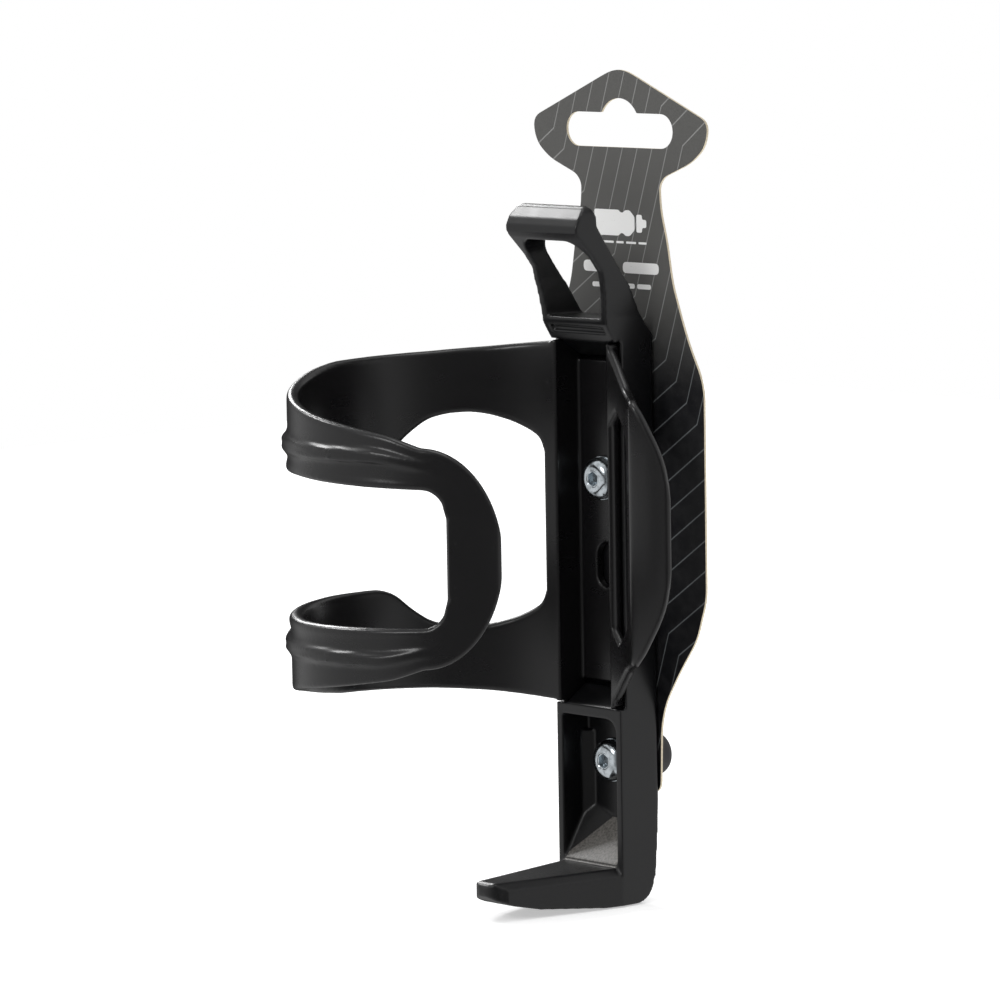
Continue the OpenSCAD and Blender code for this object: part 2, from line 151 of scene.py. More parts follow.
# The floor in millimetres: how far it reaches each way, and its gap below the foot
FLOOR_REACH = 900.0
FLOOR_GAP = 0.3

# Half-heights along the long arm and the short wing: angle round the bottle, then millimetres
ARM_HALF = [(13.8, 40.7), (15, 40.6), (39, 39.1), (60, 38.2), (98, 37.3), (110, 36.2), (123, 34.6),
            (157, 30.9), (183, 28.4), (203, 26.3), (214, 23.8)]
ARM_HOLE_HALF = [(19, 18), (24, 20.2), (31, 22.2), (39, 23.7), (46, 24.3), (54, 24), (61, 22.9),
                 (68, 19.8), (74, 16.3), (80, 15), (100, 15), (157, 15.8), (214, 14.8), (240, 14.8)]
WING_HALF = [(13.2, 40.7), (18.5, 37.2), (23, 34.2), (28, 31.4), (33, 30.2), (38, 29.6)]
WING_HOLE_HALF = [(15, 22.5), (17.8, 24.2), (20.5, 25.8), (26, 23), (31.5, 20), (33, 16)]
WING_START = 13.2
WING_OPEN = 15.0
WING_SHUT = 33.0
# Half-height of the wing's lip, at fractions of its length
LIP_HALF = [(0, 29.6), (0.2, 28.8), (0.35, 27), (0.5, 24.2), (0.7, 20.4), (0.85, 16.8), (0.95, 12.8),
            (1, 8)]
# One half of the card's outline as [x, z], from the middle of its top to its lower corner
CARD_HALF = [(0, 123), (2.6, 122.6), (5, 121.7), (28.4, 111.8), (27.4, 106.4), (23, 102.8),
             (14.2, 99.4), (12.6, 97.4), (12.9, 92), (14.8, 85), (16.4, 75.8), (19.4, 67.5),
             (21.7, 62), (25, 55.8), (26, 52), (25.9, 6), (22.7, -3.4), (17, -11.2), (12.6, -18.2),
             (11, -23.6), (10.5, -39)]


# ---------------------------------------------------------------- shader kit


class Value:
    """A shader socket that can be used in ordinary sums."""

    def __init__(self, shader, socket):
        self.shader = shader
        self.socket = socket

    def __add__(self, other):
        return self.shader.math("ADD", self, other)

    __radd__ = __add__

    def __sub__(self, other):
        return self.shader.math("SUBTRACT", self, other)

    def __rsub__(self, other):
        return self.shader.math("SUBTRACT", other, self)

    def __mul__(self, other):
        return self.shader.math("MULTIPLY", self, other)

    __rmul__ = __mul__

    def __truediv__(self, other):
        return self.shader.math("DIVIDE", self, other)

    def __rtruediv__(self, other):
        return self.shader.math("DIVIDE", other, self)

    def __abs__(self):
        return self.shader.math("ABSOLUTE", self)

    def least(self, other):
        return self.shader.math("MINIMUM", self, other)

    def most(self, other):
        return self.shader.math("MAXIMUM", self, other)

    def fraction(self):
        return self.shader.math("FRACT", self)

    def step(self, low, high, start=0.0, end=1.0):
        """Goes smoothly from start, at low and below, to end, at high and above."""
        inputs = {0: self, 1: low, 2: high, 3: start, 4: end}
        return self.shader.node("ShaderNodeMapRange", {"interpolation_type": "SMOOTHSTEP"}, inputs)


class Shader:
    """A material or a world, and the nodes that are added to it."""

    def __init__(self, owner):
        self.owner = owner
        owner.use_nodes = True
        self.tree = owner.node_tree
        self.tree.nodes.clear()

    def node(self, kind, settings=None, inputs=None, out=0):
        """Adds a node, sets it up, fills or links its sockets, and gives back one of its outputs."""
        made = self.tree.nodes.new(kind)
        for key, value in (settings or {}).items():
            setattr(made, key, value)
        for key, value in (inputs or {}).items():
            if isinstance(value, Value):
                self.tree.links.new(value.socket, made.inputs[key])
            else:
                made.inputs[key].default_value = value
        return Value(self, made.outputs[out]) if made.outputs else None

    def math(self, operation, *values):
        return self.node("ShaderNodeMath", {"operation": operation}, dict(enumerate(values)))

    def place(self):
        return self.node("ShaderNodeTexCoord", out="Object")

    def axes(self, place):
        return [self.node("ShaderNodeSeparateXYZ", None, {0: place}, axis) for axis in "XYZ"]

    def noise(self, place, size_mm, detail=2.0, roughness=0.5, stretch=None):
        """Cloudy values round 0.5, with features of a size in millimetres."""
        if stretch:
            place = self.node("ShaderNodeMapping", None, {"Vector": place, "Scale": stretch})
        inputs = {"Vector": place, "Scale": 1 / (size_mm * MM), "Detail": detail, "Roughness": roughness}
        return self.node("ShaderNodeTexNoise", None, inputs, "Fac")

    def mix(self, factor, first, second):
        settings = {"data_type": "RGBA", "blend_type": "MIX"}
        return self.node("ShaderNodeMix", settings, {0: factor, 6: first, 7: second}, 2)

    def bump(self, height, strength, distance_mm):
        inputs = {"Height": height, "Strength": strength, "Distance": distance_mm * MM}
        return self.node("ShaderNodeBump", None, inputs)

    def surface(self, inputs):
        """Ends a material in one physical shader with these inputs."""
        body = self.node("ShaderNodeBsdfPrincipled", None, inputs)
        self.node("ShaderNodeOutputMaterial", None, {"Surface": body})
        return self.owner


def new_shader(name):
    """An empty material to add nodes to."""
    return Shader(bpy.data.materials.new(name))


def in_metres(pair):
    """A pair of millimetre values, as metres."""
    return [value * MM for value in pair]


def rgba(colour, factor=1.0):
    """A colour with its alpha, made lighter or darker by a factor."""
    return (colour[0] * factor, colour[1] * factor, colour[2] * factor, 1.0)


def painted_box_highlight(s, y, z):
    """1 where a highlight is painted on the sloping floor of the lower box, which is found by its place and
    by the way it faces.
    """
    across, _, rise = s.axes(s.node("ShaderNodeNewGeometry", out="True Normal"))
    faces_up = rise.step(0.42, 0.5) * (1 - across.step(0.08, 0.16))
    inside = y.step(*in_metres(SLOPE_FRONT)) * z.step(*in_metres(SLOPE_LOW))
    return faces_up * inside * (1 - z.step(*in_metres(SLOPE_HIGH)))


def spine_plastic(looks):
    """Black nylon of the spine: satin walls, a coarser spark-eroded grain on the foot and box floor, and a
    pale painted highlight on the box floor's slope.
    """
    s = new_shader("spine_plastic")
    place = s.place()
    _, y, z = s.axes(place)
    cloud = s.noise(place, 14.0, 3.0)
    fine = s.noise(place, 0.28, 2.0)
    coarse = s.noise(place, 0.55, 3.0, 0.65)
    streak = s.noise(place, 5.0, 3.0, 0.6, (1.0, 1.0, 0.12))
    low = 1 - z.step(*in_metres(FOOT_GRAIN))
    worn = s.node("ShaderNodeNewGeometry", out="Pointiness").step(0.53, 0.62)
    highlight_share = painted_box_highlight(s, y, z)
    pale = worn * 0.5 + low * coarse.step(0.55, 0.7) * 0.35
    colour = s.mix(pale, rgba(looks.spine_colour), rgba(looks.spine_colour, 3.2))
    # Painted highlight: the box floor's slope is painted pale, broken up by the coarse grain
    colour = s.mix(highlight_share * (coarse.step(0.3, 0.65) * 0.6 + 0.4), colour, rgba(looks.box_highlight_colour))
    rough = looks.spine_roughness + (cloud - 0.5) * 0.12 + (streak - 0.5) * 0.08
    rough = rough + low * (coarse - 0.3) * 0.3
    grain = fine * 0.35 + coarse * low * 1.4
    return s.surface({
        "Base Color": colour,
        "Roughness": rough.most(0.12),
        "Normal": s.bump(grain, 0.32, 0.03),
        "Specular IOR Level": 0.5,
    })


def arm_plastic(looks):
    """Black nylon of the side arm: smoother than the spine, with faint flow marks along the arm."""
    s = new_shader("arm_plastic")
    place = s.place()
    cloud = s.noise(place, 18.0, 3.0)
    fine = s.noise(place, 0.25, 2.0)
    flow = s.noise(place, 7.0, 4.0, 0.6, (0.35, 0.35, 1.6))
    dust = s.noise(place, 1.1, 1.0).step(0.76, 0.8)
    worn = s.node("ShaderNodeNewGeometry", out="Pointiness").step(0.53, 0.6)
    colour = s.mix(worn * 0.45 + dust * 0.3, rgba(looks.arm_colour), rgba(looks.arm_colour, 3.0))
    rough = looks.arm_roughness + (cloud - 0.5) * 0.12 + (flow - 0.5) * 0.09 + dust * 0.15
    return s.surface({
        "Base Color": colour,
        "Roughness": rough.most(0.12),
        "Normal": s.bump(fine * 0.4 + flow * 0.5, 0.22, 0.02),
        "Specular IOR Level": 0.5,
    })


def cap_plastic(looks):
    """Dull dark plastic of the retaining caps, with a rubbed fine grain."""
    s = new_shader("cap_plastic")
    place = s.place()
    fine = s.noise(place, 0.3, 3.0, 0.6)
    scuff = s.noise(place, 2.2, 3.0, 0.6)
    colour = s.mix(scuff.step(0.4, 0.75) * 0.6, rgba(looks.cap_colour), rgba(looks.cap_colour, 1.9))
    return s.surface({
        "Base Color": colour,
        "Roughness": 0.5 + (scuff - 0.5) * 0.2 + (fine - 0.5) * 0.1,
        "Normal": s.bump(fine, 0.35, 0.03),
    })


def zinc_steel(looks):
    """Bright zinc plate: bluish metal with clouded spangle, light scratches and darker smudges."""
    s = new_shader("zinc_steel")
    place = s.place()
    spangle = s.noise(place, 1.3, 2.0)
    fine = s.noise(place, 0.12, 2.0)
    brush = s.noise(place, 0.35, 3.0, 0.7, (1.0, 0.15, 1.0))
    colour = s.mix(spangle.step(0.35, 0.7), rgba(looks.zinc_colour), rgba(looks.zinc_colour, 0.62))
    return s.surface({
        "Base Color": colour,
        "Metallic": 1.0,
        "Roughness": 0.1 + spangle * 0.14 + (brush - 0.5) * 0.1,
        "Normal": s.bump(brush + fine * 0.4, 0.25, 0.012),
    })


def card_lines(x, z):
    """Nearness to the printed lines: steep strokes that fold into diagonals and back, 0.5 on a line."""
    steep = (x - z * STEEP_LEAN) / (STEEP_PITCH * MM)
    head_slant = (x * HEAD_LEAN - z) / (SLANT_PITCH * MM) + HEAD_SHIFT
    body_slant = (x * BODY_LEAN - z) / (SLANT_PITCH * MM) + BODY_SHIFT
    field = steep.least(head_slant).most(body_slant).least(steep + FOOT_SHIFT) + FIRST_LINE
    return abs(field.fraction() - 0.5)


def printed_card(looks):
    """Printed board: charcoal fading to near black, thin pale lines, and bare board behind and on edges."""
    s = new_shader("card")
    place = s.place()
    x, y, z = s.axes(place)
    fibre = s.noise(place, 0.5, 4.0, 0.7)
    mottle = s.noise(place, 3.0, 3.0, 0.6)
    speck = s.noise(place, 0.35, 2.0).step(0.62, 0.74)
    fade = z.step(48 * MM, 80 * MM)
    ink = s.mix(fade, rgba(looks.card_low), rgba(looks.card_high))
    ink = s.mix(speck * 0.16 + (mottle - 0.4) * 0.2, ink, rgba(looks.card_high, 1.8))
    line = card_lines(x, z).step(0.462, 0.485)
    pale = s.mix(fade, rgba(looks.line_low), rgba(looks.line_high))
    ink = s.mix(line * 0.9, ink, pale)
    board = s.mix(fibre.step(0.35, 0.7), rgba(looks.board_colour), rgba(looks.board_colour, 0.78))
    front = 1 - y.step(0.012 * MM, 0.05 * MM)
    return s.surface({
        "Base Color": s.mix(front, board, ink),
        "Roughness": front * -0.28 + 0.82 + (mottle - 0.5) * 0.14,
        "Normal": s.bump(fibre + mottle * 0.6, 0.25, 0.03),
        "Specular IOR Level": 0.4,
    })


def card_print(looks):
    """White print on the card, a little worn where the board shows through."""
    s = new_shader("card_print")
    place = s.place()
    wear = s.noise(place, 0.5, 3.0, 0.7)
    colour = s.mix(wear.step(0.62, 0.78) * 0.5, rgba(looks.print_colour), rgba(looks.card_high, 2.0))
    return s.surface({
        "Base Color": colour,
        "Roughness": 0.5 + (wear - 0.5) * 0.2,
        "Normal": s.bump(wear, 0.2, 0.02),
    })


def pale_floor():
    """White studio floor with a trace of its own light, so that it stays pale into the distance."""
    s = new_shader("pale_floor")
    cloud = s.noise(s.place(), 220.0, 3.0)
    colour = s.mix(cloud * 0.5, (0.9, 0.9, 0.9, 1.0), (0.87, 0.87, 0.88, 1.0))
    return s.surface({
        "Base Color": colour,
        "Roughness": 0.7 + (cloud - 0.5) * 0.1,
        "Specular IOR Level": 0.2,
        "Emission Color": (1.0, 1.0, 1.0, 1.0),
        "Emission Strength": 0.46,
    })


# ---------------------------------------------------------------- mesh kit


def new_object(name, points, faces, smooth=True):
    """An object from points in millimetres."""
    mesh = bpy.data.meshes.new(name)
    mesh.from_pydata([tuple(c * MM for c in p) for p in points], [], faces)
    mesh.validate()
    mesh.update()
    made = bpy.data.objects.new(name, mesh)
    bpy.context.scene.collection.objects.link(made)
    if smooth:
        mesh.shade_smooth()
    return made


def fix_normals(made):
    """Makes the faces point outwards."""
    work = bmesh.new()
    work.from_mesh(made.data)
    bmesh.ops.recalc_face_normals(work, faces=work.faces)
    work.to_mesh(made.data)
    work.free()


def weld(mesh, gap):
    """Merges points that are closer than a gap in metres."""
    work = bmesh.new()
    work.from_mesh(mesh)
    bmesh.ops.remove_doubles(work, verts=work.verts, dist=gap)
    work.to_mesh(mesh)
    work.free()


def joined(name, parts):
    """One object from several, which are removed."""
    work = bmesh.new()
    for part in parts:
        work.from_mesh(part.data)
        bpy.data.objects.remove(part)
    mesh = bpy.data.meshes.new(name)
    work.to_mesh(mesh)
    work.free()
    made = bpy.data.objects.new(name, mesh)
    bpy.context.scene.collection.objects.link(made)
    return made


def apply_modifiers(made):
    """Replaces an object's mesh by the one its modifiers give."""
    graph = bpy.context.evaluated_depsgraph_get()
    mesh = bpy.data.meshes.new_from_object(made.evaluated_get(graph))
    made.modifiers.clear()
    made.data = mesh


def cut(made, cutter):
    """Takes the cutter's shape out of an object."""
    tool = made.modifiers.new("cut", "BOOLEAN")
    tool.operation = "DIFFERENCE"
    tool.solver = "EXACT"
    tool.object = cutter
    apply_modifiers(made)
    bpy.data.objects.remove(cutter)


def mould(made, cell_mm, rounds):
    """Fuses overlapping closed shapes into one skin and rounds its edges as a mould does."""
    tool = made.modifiers.new("fuse", "REMESH")
    tool.mode = "VOXEL"
    tool.voxel_size = cell_mm * MM
    tool.use_smooth_shade = True
    tool = made.modifiers.new("round", "SMOOTH")
    tool.factor = 0.5
    tool.iterations = rounds
    apply_modifiers(made)
    made.data.shade_smooth()


def prism(name, outline, axis, low, high):
    """A closed prism of a flat outline. The outline's two numbers fill the axes other than axis."""
    others = [a for a in range(3) if a != axis]

    def point(flat, level):
        p = [0.0, 0.0, 0.0]
        p[others[0]], p[others[1]] = flat
        p[axis] = level
        return p

    count = len(outline)
    points = [point(flat, low) for flat in outline] + [point(flat, high) for flat in outline]
    faces = [list(range(count)), list(range(2 * count - 1, count - 1, -1))]
    for i in range(count):
        j = (i + 1) % count
        faces.append([i, j, count + j, count + i])
    made = new_object(name, points, faces, smooth=False)
    fix_normals(made)
    return made


def arc(cx, cy, r, start, end, steps):
    """Points on an arc between two angles in degrees, with both ends."""
    turn = [math.radians(start + (end - start) * i / steps) for i in range(steps + 1)]
    return [(cx + r * math.cos(t), cy + r * math.sin(t)) for t in turn]


def circle(cx, cy, r, steps=48, start=0.0):
    """Points round a whole circle, from an angle in degrees."""
    return arc(cx, cy, r, start, start + 360, steps)[:-1]


def lathe(name, profile, centre_z, steps=64):
    """Turns a closed [r, y] profile about the screw axis at height centre_z."""
    points = []
    faces = []
    count = len(profile)
    for i in range(steps):
        t = 2 * math.pi * i / steps
        points += [(r * math.cos(t), y, centre_z + r * math.sin(t)) for r, y in profile]
        j = (i + 1) % steps
        for k in range(count):
            m = (k + 1) % count
            faces.append([i * count + k, j * count + k, j * count + m, i * count + m])
    made = new_object(name, points, faces)
    weld(made.data, 1e-7)
    fix_normals(made)
    return made


def shell(name, outer, inner, window):
    """Joins an outer and an inner grid of points into one closed shell with a walled window."""
    rows = len(outer)
    cols = len(outer[0])
    first, last, left, right = window
    inner_at = rows * cols
    points = [p for row in outer for p in row] + [p for row in inner for p in row]

    def solid(i, j):
        in_window = first <= i < last and left <= j < right
        return 0 <= i < rows - 1 and 0 <= j < cols - 1 and not in_window

    faces = []
    for i in range(rows - 1):
        for j in range(cols - 1):
            if not solid(i, j):
                continue
            a = i * cols + j
            b = a + 1
            c = b + cols
            d = a + cols
            faces.append([a, b, c, d])
            faces.append([inner_at + a, inner_at + d, inner_at + c, inner_at + b])
            for (n, m, di, dj) in ((a, b, -1, 0), (b, c, 0, 1), (c, d, 1, 0), (d, a, 0, -1)):
                if not solid(i + di, j + dj):
                    faces.append([n, inner_at + n, inner_at + m, m])
    made = new_object(name, points, faces)
    fix_normals(made)
    return made


def finish_piece(made, body, material, replaced):
    """Gives a piece its material, its body and the CAD nodes it stands for."""
    if not made.data.polygons:
        raise RuntimeError(made.name + " came out empty")
    made.data.materials.clear()
    made.data.materials.append(material)
    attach(made, body)
    if replaced:
        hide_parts(*replaced)


# ---------------------------------------------------------------- side arm


def table(pairs, at, spread=0.0):
    """Looks a value up in a table of pairs, averaged over a spread to round the table's corners."""
    keys = [p[0] for p in pairs]
    values = [p[1] for p in pairs]
    if not spread:
        return float(np.interp(at, keys, values))
    return float(np.mean(np.interp(at + np.linspace(-spread, spread, 11), keys, values)))


def ease(x, a, b):
    """0 up to a, 1 from b, smooth between them."""
    t = min(1.0, max(0.0, (x - a) / (b - a)))
    return t * t * (3 - 2 * t)


def round_over(distance, radius):
    """How far a surface drops at a distance inside a rounded edge."""
    if distance >= radius:
        return 0.0
    return radius - math.sqrt(max(0.0, radius * radius - (radius - distance) ** 2))


def plateau(x, up_from, up_to, down_from, down_to):
    """0, then 1 between an eased rise and an eased fall, then 0 again."""
    return ease(x, up_from, up_to) * (1 - ease(x, down_from, down_to))


def arm_outline(a):
    """Half-height of the long arm at angle a: the table, then an oval end."""
    if a < END_CURVE:
        return table(ARM_HALF, a, 3.0 if 17 < a < END_CURVE - 4 else 0.0)
    run = (a - END_CURVE) / (ARM_END + 0.4 - END_CURVE)
    return table(ARM_HALF, END_CURVE) * math.sqrt(1 - run ** 2)


def arm_window(a):
    """Half-height of the long arm's window at angle a, with rounded corners at both its ends."""
    half = table(ARM_HOLE_HALF, a, 2.5 if HOLE_START + 3 < a < END_CURVE else 0.0)
    for along, corner_angle, corner_height in ((HOLE_END - a, 8, 6), (a - HOLE_START, 3, 2)):
        left = 1 - max(0.0, along / corner_angle)
        if left > 0:
            half -= corner_height * (1 - math.sqrt(1 - left ** 2))
    return half


def ridge(a, z, w, o, height):
    """How far the doubled ridge stands out at angle a and height z, between window edge w and outline o."""
    band = o - w
    across = (z - w) / band
    crest = min(0.58, max(0.34, (RIDGE_Z - w) / band))
    reach = plateau(a, *RIDGE_START, *RIDGE_STOP)
    main = plateau(across - crest, -0.16, -0.05, 0.07, 0.17)
    dip = plateau(across - crest, -0.035, 0.01, 0.03, 0.07)
    under = plateau(across, -0.1 / band, 0.05, 0.1, 0.2)
    return reach * height * (main - 0.16 * dip + 0.3 * under)


def half_heights(w, o, steps):
    """Heights from a window edge w to an outline o, closer together near both."""
    return [w + (o - w) * 0.5 * (1 - math.cos(math.pi * k / steps)) for k in range(steps + 1)]


def rim_drop(z, w, o, rim, in_window, tip):
    """How far a rounded rim drops the surface at height z, at the outline, the window's edge or the tip."""
    window_drop = round_over(z - w, rim) if in_window else 0.0
    return max(round_over(o - z, rim), window_drop, tip)


def long_arm(looks):
    """The band that reaches round the bottle, split by its window into an upper and a lower half."""
    angles = [ARM_START, HOLE_START, HOLE_END, 236.6, 237.6, 238.4, 239.1, 239.6, ARM_END]
    angles += list(np.arange(14.5, HOLE_END, 1.25)) + list(np.arange(HOLE_END + 0.8, 236, 1.25))
    angles = sorted(set(angles))
    across = 26
    rim = looks.rim_radius
    outer = []
    inner = []
    for a in angles:
        o = arm_outline(a)
        w = min(arm_window(a), o - 3 * rim)
        in_window = HOLE_START <= a <= HOLE_END
        tip = round_over((ARM_END - a) * math.radians(1) * CLIP_R, rim)
        row = [(z, rim_drop(z, w, o, rim, in_window, tip), ridge(a, z, w, o, looks.ridge_height))
               for z in half_heights(w, o, across)]
        row = [(-z, drop, out) for z, drop, out in reversed(row)] + row
        t = math.radians(a)

        def at(r, z):
            return (-r * math.sin(t), BOTTLE_Y + r * math.cos(t), ARM_MID + z)

        outer.append([at(CLIP_R + ARM_T + out - drop, z) for z, drop, out in row])
        inner.append([at(CLIP_R + drop, z) for z, drop, out in row])
    window = (angles.index(HOLE_START), angles.index(HOLE_END), across, across + 1)
    return shell("long_arm", outer, inner, window)


def lip_heading(u):
    """Direction in which the wing's lip runs at a fraction u of its length."""
    return math.radians(-CREASE_A + 50 * ease(u, -0.12, 0.3) + 16 * u)


def lip_point(u):
    """Place of the wing's lip at a fraction u of its length, before its thickness is added."""
    steps = 24
    x = CLIP_R * math.sin(math.radians(CREASE_A))
    y = BOTTLE_Y + CLIP_R * math.cos(math.radians(CREASE_A))
    for k in range(steps):
        heading = lip_heading(u * (k + 0.5) / steps)
        x += LIP_LEN * u / steps * math.cos(heading)
        y += LIP_LEN * u / steps * math.sin(heading)
    return x, y


def wing_stations():
    """Cuts through the wing: place, way out, half-height, window's half-height, in window, rounded tip."""
    stations = []
    for a in sorted(set([WING_START, WING_OPEN, WING_SHUT] + list(np.arange(13.7, CREASE_A, 0.7)))):
        t = math.radians(a)
        place = (CLIP_R * math.sin(t), BOTTLE_Y + CLIP_R * math.cos(t))
        in_window = WING_OPEN <= a <= WING_SHUT
        half = table(WING_HALF, a, min(1.5, a - WING_START))
        stations.append((place, (math.sin(t), math.cos(t)), half, table(WING_HOLE_HALF, a), in_window, 0.0))
    lip_steps = 30
    for k in range(1, lip_steps + 1):
        u = 1 - (1 - k / lip_steps) ** 1.6
        heading = lip_heading(u)
        way_out = (-math.sin(heading), math.cos(heading))
        half = table(LIP_HALF, u, min(0.06, 1 - u + 0.001))
        tip = round_over((1 - u) * LIP_LEN, 1.0)
        stations.append((lip_point(u), way_out, half, half * 0.4, False, tip))
    return stations


def short_wing(looks):
    """The wing on the entry side: it follows the bottle to a crease, then its lip turns outwards."""
    rim = looks.rim_radius
    across = 16
    thinnest = 0.1
    outer = []
    inner = []
    window_rows = []
    for place, way_out, o, w, in_window, tip in wing_stations():
        if in_window:
            window_rows.append(len(outer))
        w = min(w, o - 2.5 * rim)
        row = [(z, min(rim_drop(z, w, o, rim, in_window, tip), WING_T / 2 - thinnest / 2))
               for z in half_heights(w, o, across)]
        row = [(-z, drop) for z, drop in reversed(row)] + row

        def at(d, z):
            return (place[0] + d * way_out[0], place[1] + d * way_out[1], ARM_MID + z)

        outer.append([at(WING_T - drop, z) for z, drop in row])
        inner.append([at(drop, z) for z, drop in row])
    return shell("short_wing", outer, inner, (window_rows[0], window_rows[-1], across, across + 1))


def arm_plate():
    """The base plate, with the screw's hole and the slot for the arm turned end for end."""
    w = PLATE_HALF_W
    low = ARM_MID - PLATE_HALF_H
    high = ARM_MID + PLATE_HALF_H
    plate = prism("arm_plate", [(-w, low), (w, low), (w, high), (-w, high)], 1, PLATE_Y, PLATE_Y + PLATE_T)
    slot = arc(0, SLOT_Z + SLOT_RUN / 2, HOLE_R, 0, 180, 24)
    slot += arc(0, SLOT_Z - SLOT_RUN / 2, HOLE_R, 180, 360, 24)
    for name, outline in (("hole", circle(0, UPPER_Z, HOLE_R)), ("slot", slot)):
        cut(plate, prism(name, outline, 1, PLATE_Y - PLATE_T, PLATE_Y + 2 * PLATE_T))
    return plate


def arm_flange(side):
    """One of the two flanges that stand along the edges of the base plate."""
    rear = PLATE_Y + PLATE_T / 2
    outline = [(FLANGE_IN, rear), (PLATE_HALF_W, rear)]
    for x in np.linspace(PLATE_HALF_W, FLANGE_IN, 5):
        outline.append((x, max(BOTTLE_Y + math.sqrt(CLIP_R ** 2 - x * x), FLANGE_FRONT)))
    outline = [(side * x, y) for x, y in outline]
    return prism("arm_flange", outline, 2, ARM_MID - ROOT_HALF, ARM_MID + ROOT_HALF)


# ---------------------------------------------------------------- settings


class CageLooks(bpy.types.PropertyGroup):
    """Sizes and finishes of the visible bottle cage."""

    cell: bpy.props.FloatProperty(
        name="Skin Detail", description="Cell size of the moulded skins, in millimetres",
        default=0.34, min=0.2, max=1.0)
    rim_radius: bpy.props.FloatProperty(
        name="Rim Radius", description="Rounding of the arm's rims, in millimetres",
        default=1.0, min=0.3, max=1.2)
    ridge_height: bpy.props.FloatProperty(
        name="Ridge Height", description="How far the arm's ridges stand out, in millimetres",
        default=1.35, min=0.0, max=1.4)
    spine_colour: bpy.props.FloatVectorProperty(
        name="Spine Plastic", description="Colour of the spine", subtype="COLOR",
        default=(0.0035, 0.0035, 0.0042), min=0, max=1)
    # Pale colour painted onto the box's sloping floor as its highlight, broken up by the coarse grain
    box_highlight_colour: bpy.props.FloatVectorProperty(
        name="Box Floor", description="Colour of the grained floor in the lower box", subtype="COLOR",
        default=(0.2, 0.19, 0.175), min=0, max=1)
    arm_colour: bpy.props.FloatVectorProperty(
        name="Arm Plastic", description="Colour of the side arm", subtype="COLOR",
        default=(0.0045, 0.0042, 0.0048), min=0, max=1)
    cap_colour: bpy.props.FloatVectorProperty(
        name="Cap Plastic", description="Colour of the retaining caps", subtype="COLOR",
        default=(0.02, 0.019, 0.02), min=0, max=1)
    zinc_colour: bpy.props.FloatVectorProperty(
        name="Zinc", description="Colour of the plated screws and washers", subtype="COLOR",
        default=(0.70, 0.76, 0.80), min=0, max=1)
    card_high: bpy.props.FloatVectorProperty(
        name="Card Top", description="Print colour of the card's head", subtype="COLOR",
        default=(0.085, 0.084, 0.08), min=0, max=1)
    card_low: bpy.props.FloatVectorProperty(
        name="Card Bottom", description="Print colour of the card's body", subtype="COLOR",
        default=(0.004, 0.004, 0.006), min=0, max=1)
    line_high: bpy.props.FloatVectorProperty(
        name="Upper Lines", description="Colour of the printed lines on the head", subtype="COLOR",
        default=(0.25, 0.25, 0.245), min=0, max=1)
    line_low: bpy.props.FloatVectorProperty(
        name="Lower Lines", description="Colour of the printed lines on the body", subtype="COLOR",
        default=(0.13, 0.14, 0.145), min=0, max=1)
    board_colour: bpy.props.FloatVectorProperty(
        name="Bare Board", description="Colour of the card's back and cut edge", subtype="COLOR",
        default=(0.72, 0.63, 0.47), min=0, max=1)
    print_colour: bpy.props.FloatVectorProperty(
        name="White Print", description="Colour of the card's pictogram and bars", subtype="COLOR",
        default=(0.85, 0.85, 0.84), min=0, max=1)
    spine_roughness: bpy.props.FloatProperty(
        name="Spine Roughness", description="Roughness of the spine's plastic", subtype="FACTOR",
        default=0.3, min=0, max=1)
    arm_roughness: bpy.props.FloatProperty(
        name="Arm Roughness", description="Roughness of the side arm's plastic", subtype="FACTOR",
        default=0.29, min=0, max=1)
    lens: bpy.props.FloatProperty(
        name="Lens", description="Focal length of the camera", subtype="DISTANCE_CAMERA",
        default=207.9, min=50, max=400)


# ---------------------------------------------------------------- operators


class CAGE_OT_spine(bpy.types.Operator):
    """Builds the spine with its hook, foot and lower box"""

    bl_idname = "bottle_cage.spine"
    bl_label = "Spine"

    def execute(self, context):
        looks = context.scene.cage_looks
        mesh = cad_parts["spine"].data.copy()
        made = bpy.data.objects.new("spine_moulding", mesh)
        context.scene.collection.objects.link(made)
        weld(mesh, 1e-6)
        mould(made, looks.cell * 0.9, SMOOTH_ROUNDS)
        finish_piece(made, "spine_and_card", spine_plastic(looks), ["spine"])
        return {"FINISHED"}


class CAGE_OT_side_arm(bpy.types.Operator):
    """Builds the side arm: long arm, short wing, base plate and flanges in one moulding"""

    bl_idname = "bottle_cage.side_arm"
    bl_label = "Side Arm"

    def execute(self, context):
        looks = context.scene.cage_looks
        parts = [long_arm(looks), short_wing(looks), arm_plate(), arm_flange(-1), arm_flange(1)]
        made = joined("side_arm_moulding", parts)
        mould(made, looks.cell * 1.1, SMOOTH_ROUNDS)
        finish_piece(made, "side_arm", arm_plastic(looks), ["side_arm"])
        return {"FINISHED"}


def screw_head_profile(seat):
    """Half profile of the domed head, as [r, y], from the axis under the head round to the axis on top."""
    flat_r = 2.35
    edge = 0.45
    ring_r = 1.8
    ring_depth = 0.12
    chamfer = 0.12
    top = seat - HEAD_H
    profile = [(0, seat + 0.2), (2.4, seat + 0.2), (2.5, seat)]
    profile += [(HEAD_R - chamfer, seat), (HEAD_R, seat - chamfer)]
    for t in np.radians(np.linspace(0, 78, 12)):
        dome_r = flat_r + (HEAD_R - flat_r) * math.cos(t)
        profile.append((dome_r, seat - edge - (HEAD_H - edge) * math.sin(t)))
    profile += [(flat_r, top), (ring_r + 0.15, top), (ring_r, top + ring_depth), (0, top + ring_depth)]
    return profile


